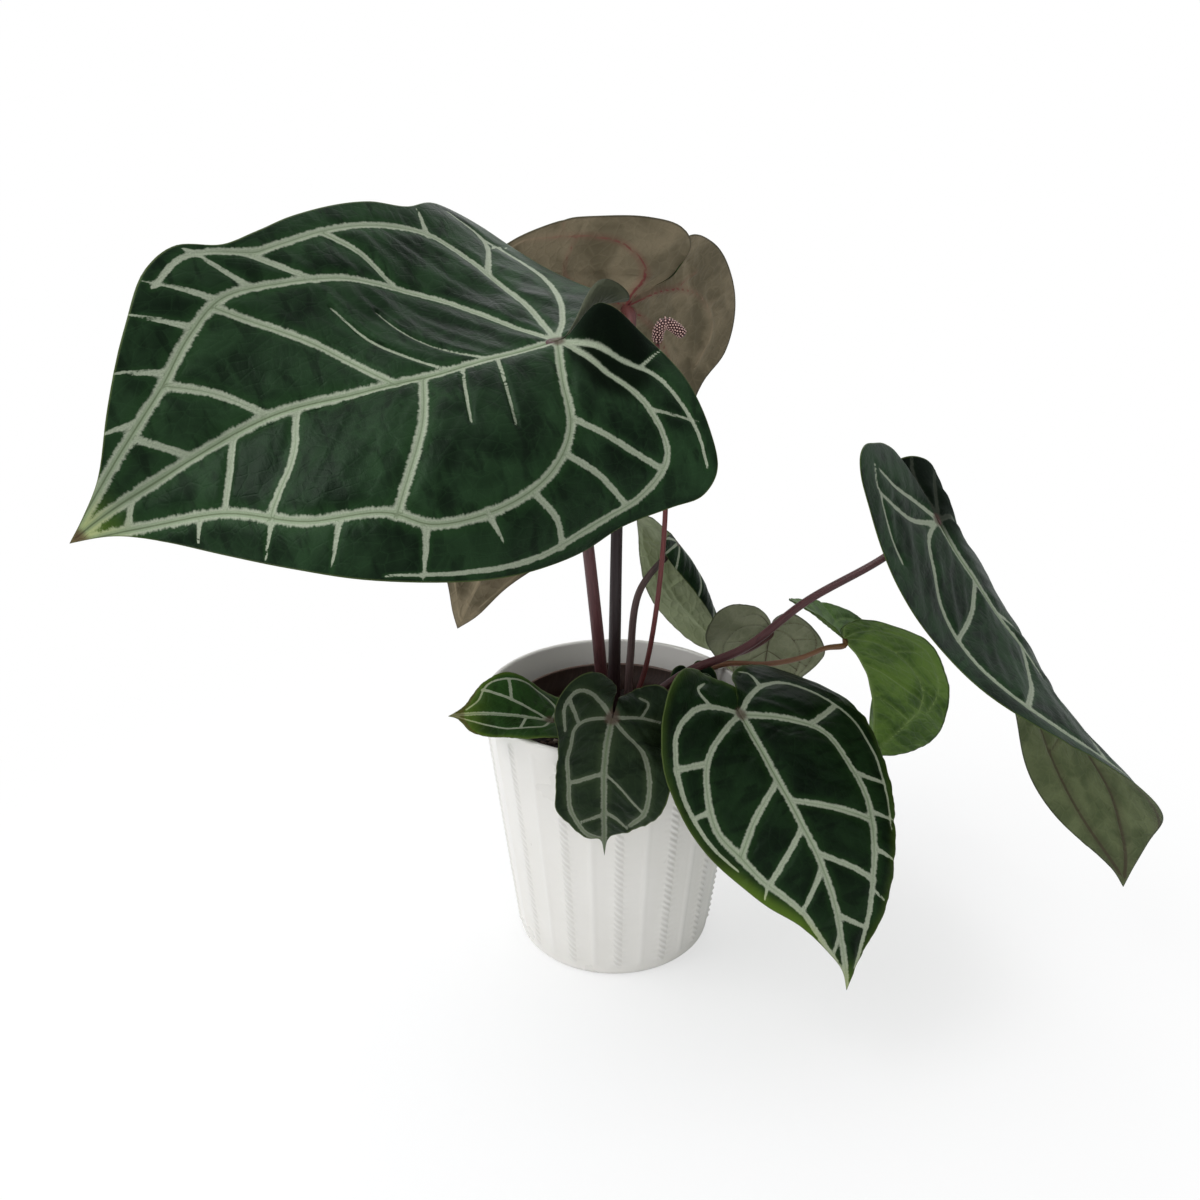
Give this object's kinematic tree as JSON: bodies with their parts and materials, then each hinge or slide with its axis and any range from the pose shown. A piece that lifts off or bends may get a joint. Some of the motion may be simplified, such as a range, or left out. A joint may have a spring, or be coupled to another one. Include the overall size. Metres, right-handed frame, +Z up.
{
  "type": "potted anthurium",
  "caption": "House plant with velvety heart-shaped leaves and pale veins, growing in a nursery pot inside a ribbed white glazed planter.",
  "frame": {"origin": "centre of the planter's flat underside", "axes": "+Z up, +X to the viewer's right, +Y away from the viewer"},
  "size_m": [0.5268, 0.3031, 0.4124],
  "materials": {
    "white_glaze": "satin white glaze",
    "brown_plastic": "matte moulded plastic",
    "potting_mix": "dark damp bark mix",
    "crown_bark": "rough stem base",
    "velvet_green": "velvety leaf with pale veins",
    "leaf_underside": "matte leaf with reddish veins",
    "new_leaf_green": "soft young leaf",
    "burgundy_stalk": "smooth satin stalk",
    "red_stalk": "smooth satin stalk",
    "spadix": "beaded surface",
    "dry_bract": "dry ribbed sheath"
  },
  "bodies": {
    "root": {"planter": "white_glaze", "nursery_pot": "brown_plastic", "potting_mix": "potting_mix", "crown": "crown_bark", "leaf_large": "velvet_green", "leaf_back": "leaf_underside", "leaf_right": "velvet_green", "leaf_front_right": "velvet_green", "leaf_front": "velvet_green", "leaf_left": "velvet_green", "leaf_folded": "velvet_green", "leaf_pale": "velvet_green", "leaf_new": "new_leaf_green", "leaf_shaded": "velvet_green", "stalk_large": "burgundy_stalk", "stalk_back": "burgundy_stalk", "stalk_right": "burgundy_stalk", "stalk_front_right": "burgundy_stalk", "stalk_front": "burgundy_stalk", "stalk_left": "burgundy_stalk", "stalk_folded": "burgundy_stalk", "stalk_pale": "burgundy_stalk", "stalk_new": "burgundy_stalk", "stalk_shaded": "burgundy_stalk", "peduncle": "red_stalk", "spadix": "spadix", "dry_bract": "dry_bract"}
  },
  "joints": []
}
